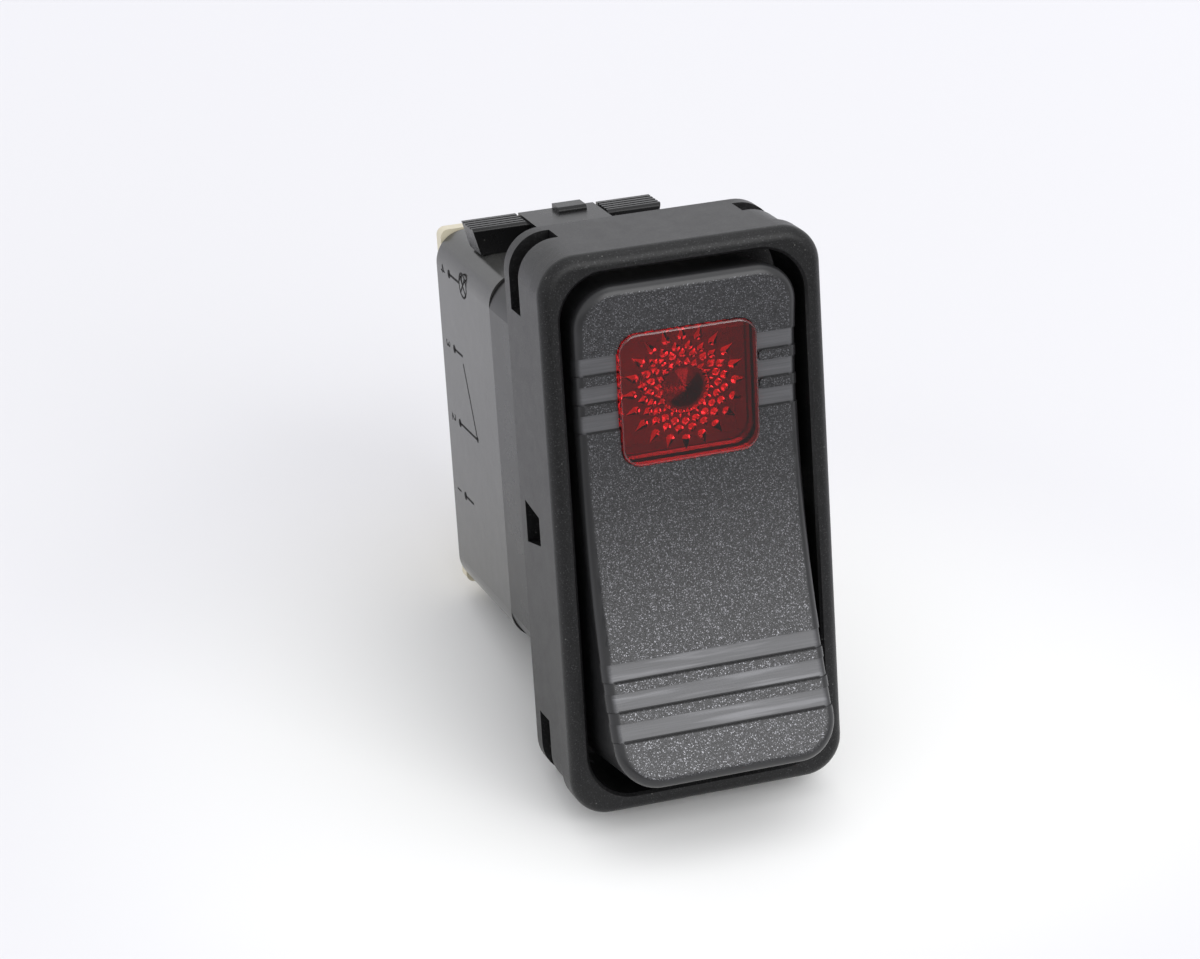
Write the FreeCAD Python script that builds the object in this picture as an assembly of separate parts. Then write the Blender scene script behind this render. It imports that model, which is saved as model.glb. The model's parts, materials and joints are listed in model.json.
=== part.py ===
import FreeCAD, Part
import math
import os

# Illuminated rocker switch that snaps into a panel.
# The face of the switch looks along -Y, +Z runs up its long side and +Y goes into the panel.
# The origin is the centre of the bezel's rear face, which seats on the panel.
# Sizes are in millimetres. The upper end of the rocker is pressed in, and tilt grows as it comes out.

# Bezel
BEZEL_W = 26.0
BEZEL_H = 52.1
BEZEL_DEPTH = 12.2
BEZEL_CORNER_R = 3.6
RING_DEPTH = 3.3
RING_PROUD_SIDE = 0.45
RING_PROUD_END = 0.15
RING_EDGE_R = 1.1
RING_BACK_R = 0.1
RING_MOUTH_R = 0.25
RING_W = 1.7
OPENING_CORNER_R = 4.2
SEAT_PLATE_T = 1.5
WINDOW_SIDE_GAP = 0.25
WINDOW_END_MARGIN = 4.05

# Openings in the bezel's skirt
CORNER_SLOT_Y = 4.3
CORNER_SLOT_H = 6.85
CORNER_SLOT_W = 4.4
NOTCH_FRONT_Y = 5.6
NOTCH_REAR_TOP = 1.3
NOTCH_REAR_LOW = -2.7
NOTCH_FRONT_TOP = 0.8
NOTCH_FRONT_LOW = -1.9

# Rocker cap
CAP_SIDE_CLEARANCE = 0.95
CAP_END_CLEARANCE = 1.75
CAP_WALL = 1.4
CAP_CORNER_R = 3.8
CAP_EDGE_R = 0.9
CAP_DISH_R = 68.0
CAP_FRONT_PROUD = 0.4
CAP_END_GAP = 0.5

# Bars sunk across the cap's face
STRIPE_COUNT = 3
STRIPE_DEPTH = 0.25
STRIPE_H = 1.65
STRIPE_PITCH = 2.6
STRIPE_BELOW_CENTRE = 12.1
STRIPE_ABOVE_LENS_CENTRE = 3.55
RIDGE_END_GAP = 0.2

# Lens in the cap
LENS_SIDE_MARGIN = 3.9
LENS_TOP_MARGIN = 4.45
LENS_H = 12.4
LENS_CORNER_R = 1.8
LENS_PROUD = 0.55
LENS_EDGE_R = 0.25
LENS_FLANGE = 0.65
LENS_FLANGE_T = 0.7
LENS_FLANGE_GAP = 0.1
LENS_GAP = 0.05

# Pits behind the lens, in four staggered rings, as shares of its half width
FACET_COUNT = 20
FACET_PLACE = [0.79, 0.605, 0.5, 0.372]
FACET_LENGTH = [0.22, 0.14, 0.13, 0.13]
FACET_WIDTH = [0.125, 0.125, 0.115, 0.1]
FACET_DEPTH = 0.06
FACET_HEEL_SIDES = 4
FACET_CONE = 0.28
FACET_CONE_DEPTH = 0.1

# Pivot and travel
PIVOT_DEPTH = 3.6
TILT_DEG = 7.5
PIN_R = 1.4
PIN_GAP = 0.04
PIN_END_GAP = 0.2
EAR_R = 2.2
EAR_T = 1.3
EAR_SIDE_GAP = 0.2

# Carrier inside the cap, with the stem that works the contacts
CARRIER_END_MARGIN = 4.1
CARRIER_DEPTH = 7.6
CARRIER_GAP = 0.05
STEM_H = 7.0
STEM_REAR_Y = 8.0
PLUNGER_R = 1.55
PLUNGER_GAP = 0.05
PLUNGER_BACK_Y = 3.2
BORE_FLOOR_Y = -3.4
PLUNGER_BLADE_GAP = 0.1
SPRING_WIRE_R = 0.2
SPRING_R = 1.15
SPRING_TURNS = 5.0

# Lamp behind the lens
BULB_R = 2.3
BULB_REACH = 5.6
BOARD_SIDE_MARGIN = 1.0
BOARD_H = 5.4
BOARD_T = 1.0
LAMP_ROOM_WALL = 1.0

# Collar behind the bezel and the housing that closes on it
BODY_SIDE_INSET = 2.62
BODY_END_INSET = 8.0
BODY_CORNER_R = 3.0
COLLAR_CORNER_BULGE = 0.656
SEAM_Y = 13.7
BODY_REAR_Y = 31.8
BODY_WALL = 1.45
BODY_EDGE_R = 0.4
SPIGOT_LEN = 3.0
SPIGOT_WALL = 1.0
SPIGOT_GAP = 0.05
SPIGOT_ROOT = 1.5

# Terminal base
BASE_SIDE_INSET = 0.7
BASE_END_PROUD = 0.1
BASE_T = 1.5
BASE_CORNER_R = 0.8
PLUG_FRONT_Y = 25.0
PLUG_GAP = 0.05

# Contacts and terminals
BLADE_BEHIND_STEM = 7.0
BLADE_W = 4.4
BLADE_SHORT_OF_ROW = 0.1
BLADE_T = 0.8
BLADE_TILT_DEG = 6.5
BLADE_FULCRUM_GAP = 0.03
BUTTON_R = 1.2
BUTTON_T = 0.5
BUTTON_SHORT_OF_ROW = 1.5
BUTTON_GAP = 0.05
TAB_W = 6.35
TAB_T = 0.8
TAB_REACH = 8.3
TAB_TIP_TAPER = 1.1
TAB_HOLE_R = 0.9
TAB_HOLE_FROM_TIP = 3.2
TAB_HEEL = 1.6
TOP_ROW_MARGIN = 3.05
TAB_SLOT_GAP = 0.05
LEAF_W = 2.6
LEAF_T = 0.4
LEAF_GAP = 0.3
LEAF_ABOVE_LENS_CENTRE = 0.55
LEAF_TIP = 2.0

# Snap arms above and below the body
ARM_W = 7.5
ARM_T = 1.4
ARM_OFF_BODY = 2.65
ARM_END_Y = 24.8
HOOK_W = 6.0
HOOK_RISE = 2.3
HOOK_START_Y = 2.1
HOOK_CREST_Y = 6.0
HOOK_END_Y = 12.0
GRIP_SIDE_INSET = 0.98
GRIP_END_SLANT = 0.7
GRIP_LEN = 3.7
GRIP_T = 2.6
GRIP_EDGE_R = 0.35
GRIP_RIB_COUNT = 4
GRIP_RIB_W = 0.3
GRIP_RIB_DEPTH = 0.15
BUMP_W = 2.8
BUMP_H = 0.45
BUMP_LEN = 2.2
BUMP_ROUND = 0.4
BUMP_OFF_CENTRE = 1.05
WING_MARK = 0.3

# Places that follow from the sizes above
FRONT_Y = -BEZEL_DEPTH
OPENING_W = BEZEL_W - 2 * RING_W
OPENING_H = BEZEL_H - 2 * RING_W
SKIRT_W = BEZEL_W - 2 * RING_PROUD_SIDE
SKIRT_H = BEZEL_H - 2 * RING_PROUD_END
SKIRT_CORNER_R = BEZEL_CORNER_R - RING_PROUD_END
CAP_W = OPENING_W - 2 * CAP_SIDE_CLEARANCE
CAP_H = OPENING_H - 2 * CAP_END_CLEARANCE
FACE_Y = FRONT_Y - CAP_FRONT_PROUD
PIVOT_Y = FRONT_Y + PIVOT_DEPTH
CAP_INSIDE_HALF_W = CAP_W / 2 - CAP_WALL
EAR_OUT = CAP_INSIDE_HALF_W - EAR_SIDE_GAP
EAR_IN = EAR_OUT - EAR_T
CARRIER_HALF_W = EAR_IN - WINDOW_SIDE_GAP / 2
CARRIER_HALF_H = CAP_H / 2 - CARRIER_END_MARGIN
CARRIER_BACK_Y = FACE_Y + CARRIER_DEPTH
BODY_W = BEZEL_W - 2 * BODY_SIDE_INSET
BODY_H = BEZEL_H - 2 * BODY_END_INSET
INSIDE_W = BODY_W - 2 * BODY_WALL
INSIDE_H = BODY_H - 2 * BODY_WALL
INSIDE_CORNER_R = BODY_CORNER_R - BODY_WALL
WINDOW_HALF_H = BODY_H / 2 - WINDOW_END_MARGIN
ARM_TOP_Z = BODY_H / 2 + ARM_OFF_BODY
TILT = math.radians(TILT_DEG)
BLADE_TILT = math.radians(BLADE_TILT_DEG)
BORE_R = PLUNGER_R + PLUNGER_GAP
BLADE_Y = STEM_REAR_Y + BLADE_BEHIND_STEM
POLE_X = INSIDE_W / 4
ROW_PITCH = (BODY_H / 2 - TOP_ROW_MARGIN) / 2
BLADE_HALF_H = ROW_PITCH - BLADE_SHORT_OF_ROW
BUTTON_Z = ROW_PITCH - BUTTON_SHORT_OF_ROW
PLUNGER_TIP_Y = BLADE_Y - BLADE_T - PLUNGER_BLADE_GAP
FIXED_FACE_Y = BLADE_Y + BUTTON_T + BUTTON_GAP
FOOT_Y = FIXED_FACE_Y + BUTTON_T
BASE_REAR_Y = BODY_REAR_Y + BASE_T
TAB_END_Y = BASE_REAR_Y + TAB_REACH
LENS_W = CAP_W - 2 * LENS_SIDE_MARGIN
LENS_Z = CAP_H / 2 - LENS_TOP_MARGIN - LENS_H / 2
LENS_SEAT_Y = FACE_Y - CAP_DISH_R + math.sqrt(CAP_DISH_R ** 2 - LENS_Z ** 2)
LENS_SLOPE_DEG = math.degrees(math.asin(LENS_Z / CAP_DISH_R))
LENS_FACE_Y = LENS_SEAT_Y - LENS_PROUD
LENS_BACK_Y = LENS_SEAT_Y + CAP_WALL + LENS_FLANGE_GAP + LENS_FLANGE_T
UPPER_STRIPE_Z = LENS_Z + STRIPE_ABOVE_LENS_CENTRE
RIDGE_R = (STRIPE_PITCH - STRIPE_H) / 2
TOUCH = 0.0001
X_AXIS = FreeCAD.Vector(1, 0, 0)
Y_AXIS = FreeCAD.Vector(0, 1, 0)
Z_AXIS = FreeCAD.Vector(0, 0, 1)


def vec(x, y, z):
    return FreeCAD.Vector(x, y, z)


def box(x0, x1, y0, y1, z0, z1):
    return Part.makeBox(x1 - x0, y1 - y0, z1 - z0, vec(x0, y0, z0))


def rounded_prism(w, h, r, y0, y1, centre_z=0.0):
    """A block with rounded corners as seen from the front, from y0 back to y1."""
    solid = box(-w / 2, w / 2, y0, y1, centre_z - h / 2, centre_z + h / 2)
    corners = [e for e in solid.Edges if abs(e.tangentAt(e.FirstParameter).y) > 0.99]
    return solid.makeFillet(r, corners)


def side_profile(points, x0, x1):
    """A solid with the outline (y, z), from x0 to x1."""
    wire = Part.makePolygon([vec(x0, y, z) for y, z in points + points[:1]])
    return Part.Face(wire).extrude(vec(x1 - x0, 0, 0))


def rod(r, x, z, y0, y1):
    return Part.makeCylinder(r, y1 - y0, vec(x, y0, z), Y_AXIS)


def upside_down(shape):
    return shape.mirror(vec(0, 0, 0), Z_AXIS)


def about_pivot(shape, degrees):
    turned = shape.copy()
    turned.rotate(vec(0, PIVOT_Y, 0), X_AXIS, degrees)
    return turned


def at_rest(shape):
    """The rocker's pieces are drawn level, then turned so that the upper end is pressed in."""
    return about_pivot(shape, -TILT_DEG)


def on_slope(shape):
    """Turned square to the dished face at the middle of the lens."""
    turned = shape.copy()
    turned.rotate(vec(0, LENS_SEAT_Y, LENS_Z), X_AXIS, LENS_SLOPE_DEG)
    return turned


def save(name, shape):
    shape.exportStep("parts/" + name + ".step")


def edges_at(shape, y, w, h):
    """Edges in the plane at y that lie on the outline of a w by h block."""
    found = []
    for e in shape.Edges:
        b = e.BoundBox
        flat = abs(b.YMin - y) < TOUCH and abs(b.YMax - y) < TOUCH
        near_side = max(abs(b.XMin), abs(b.XMax)) > w / 2 - TOUCH
        near_end = max(abs(b.ZMin), abs(b.ZMax)) > h / 2 - TOUCH
        if flat and (near_side or near_end):
            found.append(e)
    return found


def bezel_ring():
    ring = rounded_prism(BEZEL_W, BEZEL_H, BEZEL_CORNER_R, FRONT_Y, FRONT_Y + RING_DEPTH)
    ring = ring.makeFillet(RING_EDGE_R, edges_at(ring, FRONT_Y, BEZEL_W, BEZEL_H))
    return ring.makeFillet(RING_BACK_R, edges_at(ring, FRONT_Y + RING_DEPTH, BEZEL_W, BEZEL_H))


def bezel_mouth():
    """The hollow that the rocker moves in, with a softened edge at the front."""
    well = rounded_prism(OPENING_W, OPENING_H, OPENING_CORNER_R, FRONT_Y, -SEAT_PLATE_T)
    wide_w = OPENING_W + 2 * RING_MOUTH_R
    wide_h = OPENING_H + 2 * RING_MOUTH_R
    wide_r = OPENING_CORNER_R + RING_MOUTH_R
    lip = rounded_prism(wide_w, wide_h, wide_r, FRONT_Y - RING_MOUTH_R, FRONT_Y + RING_MOUTH_R)
    lip = lip.makeChamfer(RING_MOUTH_R, edges_at(lip, FRONT_Y + RING_MOUTH_R, wide_w, wide_h))
    return well.fuse(lip)


def skirt_openings():
    """Slots round the four corners just in front of the seat plate, and a notch in each long side."""
    cuts = []
    for sx in (-1, 1):
        for sz in (-1, 1):
            x0, x1 = sorted((sx * (BEZEL_W / 2 - CORNER_SLOT_W), sx * BEZEL_W / 2))
            z0, z1 = sorted((sz * (BEZEL_H / 2 - CORNER_SLOT_H), sz * BEZEL_H / 2))
            cuts.append(box(x0, x1, -CORNER_SLOT_Y, -SEAT_PLATE_T, z0, z1))
        notch = [(-SEAT_PLATE_T, NOTCH_REAR_TOP), (-SEAT_PLATE_T, NOTCH_REAR_LOW),
                 (-NOTCH_FRONT_Y, NOTCH_FRONT_LOW), (-NOTCH_FRONT_Y, NOTCH_FRONT_TOP)]
        x0, x1 = sorted((sx * (OPENING_W / 2 - RING_W), sx * BEZEL_W / 2))
        cuts.append(side_profile(notch, x0, x1))
    return cuts


def creased_outline(w, h, r, y):
    """A rectangle whose corners are arcs too flat to run smoothly into the sides."""
    a = w / 2
    b = h / 2
    bulge = r * COLLAR_CORNER_BULGE
    corners = []
    for sx, sz in ((1, 1), (-1, 1), (-1, -1), (1, -1)):
        on_side = vec(sx * a, y, sz * (b - r))
        on_end = vec(sx * (a - r), y, sz * b)
        middle = vec(sx * (a - r + bulge), y, sz * (b - r + bulge))
        corners.append((on_side, middle, on_end) if sx * sz > 0 else (on_end, middle, on_side))
    edges = []
    for i in range(4):
        edges.append(Part.Arc(*corners[i]).toShape())
        edges.append(Part.makeLine(corners[i][2], corners[(i + 1) % 4][0]))
    return Part.Wire(edges)


def collar():
    """The sleeve behind the seat plate, and the room inside it."""
    outline = creased_outline(BODY_W, BODY_H, BODY_CORNER_R, -SEAT_PLATE_T / 2)
    sleeve = Part.Face(outline).extrude(vec(0, SEAM_Y + SEAT_PLATE_T / 2, 0))
    room = rounded_prism(INSIDE_W, INSIDE_H, INSIDE_CORNER_R, 0, SEAM_Y)
    return sleeve.cut(room)


def pivot_ears():
    """Two ears on the seat plate, with the bores that carry the rocker's pins."""
    ears = []
    for sx in (-1, 1):
        x0, x1 = sorted((sx * EAR_IN, sx * EAR_OUT))
        leg = box(x0, x1, PIVOT_Y, -SEAT_PLATE_T / 2, -EAR_R, EAR_R)
        tip = Part.makeCylinder(EAR_R, EAR_T, vec(x0, PIVOT_Y, 0), X_AXIS)
        bore = Part.makeCylinder(PIN_R + PIN_GAP, EAR_T, vec(x0, PIVOT_Y, 0), X_AXIS)
        ears.append(leg.fuse(tip).cut(bore))
    return ears


def finger_grip():
    """The cross bar at the end of the upper arm, with fine grooves across its top."""
    top_w = BODY_W / 2 - GRIP_SIDE_INSET
    low_w = top_w - GRIP_END_SLANT
    front = ARM_END_Y - GRIP_LEN
    low = ARM_TOP_Z - GRIP_T
    outline = [(-top_w, ARM_TOP_Z), (top_w, ARM_TOP_Z), (low_w, low), (-low_w, low)]
    wire = Part.makePolygon([vec(x, front, z) for x, z in outline + outline[:1]])
    grip = Part.Face(wire).extrude(vec(0, GRIP_LEN, 0))
    rim = [e for e in grip.Edges if e.BoundBox.YMax < front + TOUCH]
    grip = grip.makeFillet(GRIP_EDGE_R, [e for e in rim if e.BoundBox.ZMin > ARM_TOP_Z - TOUCH])
    pitch = GRIP_LEN / (GRIP_RIB_COUNT + 1)
    cuts = []
    for sx in (-1, 1):
        x0, x1 = sorted((sx * ARM_W / 2, sx * top_w))
        for i in range(GRIP_RIB_COUNT):
            y = front + (i + 1) * pitch - GRIP_RIB_W / 2
            cuts.append(box(x0, x1, y, y + GRIP_RIB_W, ARM_TOP_Z - GRIP_RIB_DEPTH, ARM_TOP_Z))
        x0, x1 = sorted((sx * ARM_W / 2, sx * (ARM_W / 2 + WING_MARK)))
        cuts.append(box(x0, x1, front, ARM_END_Y, ARM_TOP_Z - WING_MARK, ARM_TOP_Z))
    return grip.cut(cuts)


def snap_arm():
    """A strip over the body with a wedge for the panel edge and a round-backed bump at its end."""
    low = ARM_TOP_Z - ARM_T
    strip = box(-ARM_W / 2, ARM_W / 2, -SEAT_PLATE_T / 2, ARM_END_Y, low, ARM_TOP_Z)
    wedge = side_profile([(HOOK_START_Y, low), (HOOK_START_Y, ARM_TOP_Z),
                          (HOOK_CREST_Y, ARM_TOP_Z + HOOK_RISE), (HOOK_END_Y, ARM_TOP_Z),
                          (HOOK_END_Y, low)], -HOOK_W / 2, HOOK_W / 2)
    bump_x = BUMP_OFF_CENTRE - BUMP_W / 2
    bump = box(bump_x, bump_x + BUMP_W, ARM_END_Y - BUMP_LEN, ARM_END_Y, low, ARM_TOP_Z + BUMP_H)
    across = [e for e in bump.Edges if e.BoundBox.ZMin > ARM_TOP_Z and e.BoundBox.XLength > BUMP_W / 2]
    front = [e for e in across if e.BoundBox.YMax < ARM_END_Y - BUMP_LEN / 2]
    return strip.fuse([wedge, bump.makeFillet(BUMP_ROUND, front)])


def bezel_bracket():
    """One moulding: bezel ring, skirt, seat plate, collar, pivot ears and both snap arms."""
    skirt = rounded_prism(SKIRT_W, SKIRT_H, SKIRT_CORNER_R, FRONT_Y + RING_DEPTH / 2, 0)
    shell = bezel_ring().fuse(skirt).cut(bezel_mouth())
    window = box(-EAR_IN, EAR_IN, -SEAT_PLATE_T, 0, -WINDOW_HALF_H, WINDOW_HALF_H)
    bracket = shell.fuse([collar(), snap_arm(), finger_grip(), upside_down(snap_arm())])
    bracket = bracket.cut([window] + skirt_openings())
    return bracket.fuse(pivot_ears()).removeSplitter()


def dish(offset):
    """The drum that hollows the cap's face. With an offset it reaches that far behind the face."""
    centre = vec(-BEZEL_W / 2, FACE_Y - CAP_DISH_R, 0)
    return Part.makeCylinder(CAP_DISH_R + offset, BEZEL_W, centre, X_AXIS)


def cap_rear_y():
    """How far back the cap's ends can reach and still clear the seat plate when tilted."""
    reach = -SEAT_PLATE_T - CAP_END_GAP - CAP_H / 2 * math.sin(TILT)
    return PIVOT_Y + (reach - PIVOT_Y) / math.cos(TILT)


def cap_block(sunk):
    """The cap's outer form, with the dished face sunk by that much."""
    block = rounded_prism(CAP_W, CAP_H, CAP_CORNER_R, FACE_Y - CAP_H / 2, cap_rear_y()).cut(dish(sunk))
    rim = [e for e in block.Edges if e.BoundBox.YMax < FACE_Y + sunk + TOUCH * CAP_H]
    return block.makeFillet(CAP_EDGE_R, rim)


def stripes():
    """Shallow bars across the face that run out over its rounded sides."""
    bars = []
    for top in (-STRIPE_BELOW_CENTRE, UPPER_STRIPE_Z):
        for i in range(STRIPE_COUNT):
            z = top - i * STRIPE_PITCH
            bars.append(box(-CAP_W / 2, CAP_W / 2, FACE_Y - CAP_H, 0, z - STRIPE_H / 2, z + STRIPE_H / 2))
    return bars


def ridge_ends():
    """What is cleared beside the lens, so that the ridges between the upper bars end round."""
    cuts = []
    for sx in (-1, 1):
        near = sx * (LENS_W / 2 - RIDGE_END_GAP)
        middle = sx * (LENS_W / 2 + RIDGE_END_GAP + RIDGE_R)
        x0, x1 = sorted((near, middle))
        for i in range(STRIPE_COUNT - 1):
            z = UPPER_STRIPE_Z - (i + 1 / 2) * STRIPE_PITCH
            block = box(x0, x1, FACE_Y - CAP_H, 0, z - RIDGE_R, z + RIDGE_R)
            cuts.append(block.cut(rod(RIDGE_R, middle, z, FACE_Y - CAP_H, 0)))
    return cuts


def rocker_cap():
    """The touched piece: a dished shell with a window for the lens and bars sunk in its face."""
    cap = cap_block(0)
    inner_r = CAP_CORNER_R - CAP_WALL
    hollow = rounded_prism(CAP_W - 2 * CAP_WALL, CAP_H - 2 * CAP_WALL, inner_r, FACE_Y - CAP_H, cap_rear_y())
    cap = cap.cut(hollow.cut(dish(CAP_WALL)))
    window = rounded_prism(LENS_W, LENS_H, LENS_CORNER_R, LENS_SEAT_Y - CAP_H, LENS_BACK_Y, LENS_Z)
    cap = cap.cut(on_slope(window))
    floor = cap_block(STRIPE_DEPTH)
    return cap.cut([c.cut(floor) for c in stripes() + ridge_ends()])


def facet(place, length, width, depth):
    """One teardrop pit, round towards the middle and pointed outwards, on the back of the lens."""
    centre = place - length / 2 + width / 2
    base = [(place + length / 2, 0.0)]
    for i in range(FACET_HEEL_SIDES + 1):
        angle = math.pi * (1 / 2 + i / FACET_HEEL_SIDES)
        base.append((centre + width / 2 * math.cos(angle), width / 2 * math.sin(angle)))
    tip = vec(centre, LENS_BACK_Y - depth, LENS_Z)
    ring = [vec(x, LENS_BACK_Y, LENS_Z + z) for x, z in base]
    faces = [Part.Face(Part.makePolygon(ring + ring[:1]))]
    for i in range(len(ring)):
        faces.append(Part.Face(Part.makePolygon([ring[i - 1], ring[i], tip, ring[i - 1]])))
    return Part.Solid(Part.Shell(faces))


def lens():
    """Clear red block: smooth in front, with rings of pits and a central cone behind."""
    back = LENS_BACK_Y
    half_w = LENS_W / 2
    w = LENS_W - 2 * LENS_GAP
    h = LENS_H - 2 * LENS_GAP
    body = rounded_prism(w, h, LENS_CORNER_R - LENS_GAP, LENS_FACE_Y, back, LENS_Z)
    front = [e for e in body.Edges if e.BoundBox.YMax < LENS_FACE_Y + TOUCH]
    body = body.makeFillet(LENS_EDGE_R, front)
    outer_w = LENS_W + 2 * LENS_FLANGE
    outer_h = LENS_H + 2 * LENS_FLANGE
    flange = rounded_prism(outer_w, outer_h, LENS_CORNER_R, back - LENS_FLANGE_T, back, LENS_Z)
    cone_depth = FACET_CONE_DEPTH * half_w
    pits = [Part.makeCone(FACET_CONE * half_w, 0, cone_depth, vec(0, back, LENS_Z), vec(0, -1, 0))]
    for ring in range(len(FACET_PLACE)):
        sizes = (FACET_PLACE[ring], FACET_LENGTH[ring], FACET_WIDTH[ring], FACET_DEPTH)
        for i in range(FACET_COUNT):
            pit = facet(*[share * half_w for share in sizes])
            pit.rotate(vec(0, back, LENS_Z), Y_AXIS, 360.0 * (i + ring / 2) / FACET_COUNT)
            pits.append(pit)
    return on_slope(body.fuse(flange).cut(pits))


def rocker_carrier():
    """Frame under the cap with the pivot pins, the lamp room and the stem with two plunger bores."""
    block = box(-CARRIER_HALF_W, CARRIER_HALF_W, FACE_Y - CAP_H / 2, CARRIER_BACK_Y,
                -CARRIER_HALF_H, CARRIER_HALF_H)
    block = block.cut(dish(CAP_WALL + CARRIER_GAP))
    flange_half = LENS_H / 2 + LENS_FLANGE + CARRIER_GAP
    seat = box(-CARRIER_HALF_W, CARRIER_HALF_W, LENS_SEAT_Y - CAP_H, LENS_BACK_Y + CARRIER_GAP,
               LENS_Z - flange_half, LENS_Z + flange_half)
    block = block.cut(on_slope(seat))
    room_w = CARRIER_HALF_W - LAMP_ROOM_WALL
    room_h = LENS_H / 2 - LAMP_ROOM_WALL
    room = box(-room_w, room_w, FACE_Y - CAP_H, CARRIER_BACK_Y - LAMP_ROOM_WALL,
               LENS_Z - room_h, LENS_Z + room_h)
    stem = box(-CARRIER_HALF_W, CARRIER_HALF_W, CARRIER_BACK_Y - LAMP_ROOM_WALL, STEM_REAR_Y,
               -STEM_H / 2, STEM_H / 2)
    pins = []
    for sx in (-1, 1):
        x0, x1 = sorted((sx * (CARRIER_HALF_W - LAMP_ROOM_WALL), sx * (EAR_OUT - PIN_END_GAP)))
        pins.append(Part.makeCylinder(PIN_R, x1 - x0, vec(x0, PIVOT_Y, 0), X_AXIS))
    cuts = [room, rod(BULB_R + PIN_GAP, 0, LENS_Z, CARRIER_BACK_Y - 2 * LAMP_ROOM_WALL, CARRIER_BACK_Y)]
    cuts += [rod(BORE_R, x, 0, BORE_FLOOR_Y, STEM_REAR_Y) for x in (-POLE_X, POLE_X)]
    return block.fuse([stem] + pins).cut(cuts)


def lamp_bulb():
    tip = CARRIER_BACK_Y - BULB_REACH
    dome = Part.makeSphere(BULB_R, vec(0, tip + BULB_R, LENS_Z))
    return dome.fuse(rod(BULB_R, 0, LENS_Z, tip + BULB_R, CARRIER_BACK_Y))


def lamp_board():
    """Small board on the back of the carrier that holds the bulb and its two contact pads."""
    half_w = CARRIER_HALF_W - BOARD_SIDE_MARGIN
    return box(-half_w, half_w, CARRIER_BACK_Y, CARRIER_BACK_Y + BOARD_T,
               LENS_Z - BOARD_H / 2, LENS_Z + BOARD_H / 2)


def plunger(x):
    nose = Part.makeSphere(PLUNGER_R, vec(x, PLUNGER_TIP_Y - PLUNGER_R, 0))
    shank = rod(PLUNGER_R, x, 0, PLUNGER_BACK_Y, PLUNGER_TIP_Y - PLUNGER_R)
    return shank.fuse(nose)


def plunger_spring(x):
    """Coil spring between the bore's floor and the back of the plunger."""
    length = PLUNGER_BACK_Y - BORE_FLOOR_Y - 2 * SPRING_WIRE_R
    pitch = length / SPRING_TURNS
    helix = Part.makeHelix(pitch, length, SPRING_R)
    section = Part.Wire([Part.makeCircle(SPRING_WIRE_R, vec(SPRING_R, 0, 0), Y_AXIS)])
    coil = Part.Wire(helix).makePipeShell([section], True, True)
    coil.rotate(vec(0, 0, 0), X_AXIS, -90)
    coil.translate(vec(x, BORE_FLOOR_Y + SPRING_WIRE_R, 0))
    return coil


def housing():
    """Rear shell: a spigot in front enters the collar, and the base closes it behind."""
    shell = rounded_prism(BODY_W, BODY_H, BODY_CORNER_R, SEAM_Y, BODY_REAR_Y)
    shell = shell.makeFillet(BODY_EDGE_R, edges_at(shell, BODY_REAR_Y, BODY_W, BODY_H))
    step = BODY_WALL + SPIGOT_GAP
    spigot = rounded_prism(BODY_W - 2 * step, BODY_H - 2 * step, BODY_CORNER_R - step,
                           SEAM_Y - SPIGOT_LEN, SEAM_Y + SPIGOT_ROOT)
    inner = step + SPIGOT_WALL
    bore = rounded_prism(BODY_W - 2 * inner, BODY_H - 2 * inner, INSIDE_CORNER_R,
                         SEAM_Y - SPIGOT_LEN, BODY_REAR_Y)
    room = rounded_prism(INSIDE_W, INSIDE_H, INSIDE_CORNER_R, SEAM_Y + SPIGOT_ROOT, BODY_REAR_Y)
    return shell.cut(room).fuse(spigot).cut(bore)


def terminal_rows():
    """Each terminal's name, side and height: three to a pole, and one for the lamp on each side."""
    rows = []
    for sx in (-1, 1):
        for row in (-1, 0, 1, 2):
            rows.append((sx, row))
    return rows


def tab_slot(sx, row):
    half_w = TAB_W / 2 + TAB_SLOT_GAP
    half_t = TAB_T / 2 + TAB_SLOT_GAP
    x = sx * POLE_X
    z = row * ROW_PITCH
    return box(x - half_w, x + half_w, PLUG_FRONT_Y, BASE_REAR_Y, z - half_t, z + half_t)


def terminal_base():
    """Cream moulding that closes the back and holds the terminals."""
    base_w = BODY_W - 2 * BASE_SIDE_INSET
    base_h = BODY_H + 2 * BASE_END_PROUD
    plate = rounded_prism(base_w, base_h, BASE_CORNER_R, BODY_REAR_Y, BASE_REAR_Y)
    step = BODY_WALL + PLUG_GAP
    plug = rounded_prism(BODY_W - 2 * step, BODY_H - 2 * step, BODY_CORNER_R - step,
                         PLUG_FRONT_Y, BODY_REAR_Y)
    return plate.fuse(plug).cut([tab_slot(sx, row) for sx, row in terminal_rows()])


def tab(sx, row, front_y):
    """Quick-connect tab with a tapered tip and a small hole, reaching forward to front_y."""
    x = sx * POLE_X
    z = row * ROW_PITCH
    a = TAB_W / 2
    tip = TAB_END_Y - TAB_TIP_TAPER
    outline = [(x - a, front_y), (x - a, tip), (x - a + TAB_TIP_TAPER, TAB_END_Y),
               (x + a - TAB_TIP_TAPER, TAB_END_Y), (x + a, tip), (x + a, front_y)]
    wire = Part.makePolygon([vec(u, v, z - TAB_T / 2) for u, v in outline + outline[:1]])
    blade = Part.Face(wire).extrude(vec(0, 0, TAB_T))
    hole = Part.makeCylinder(TAB_HOLE_R, TAB_T, vec(x, TAB_END_Y - TAB_HOLE_FROM_TIP, z - TAB_T / 2), Z_AXIS)
    return blade.cut(hole)


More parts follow.
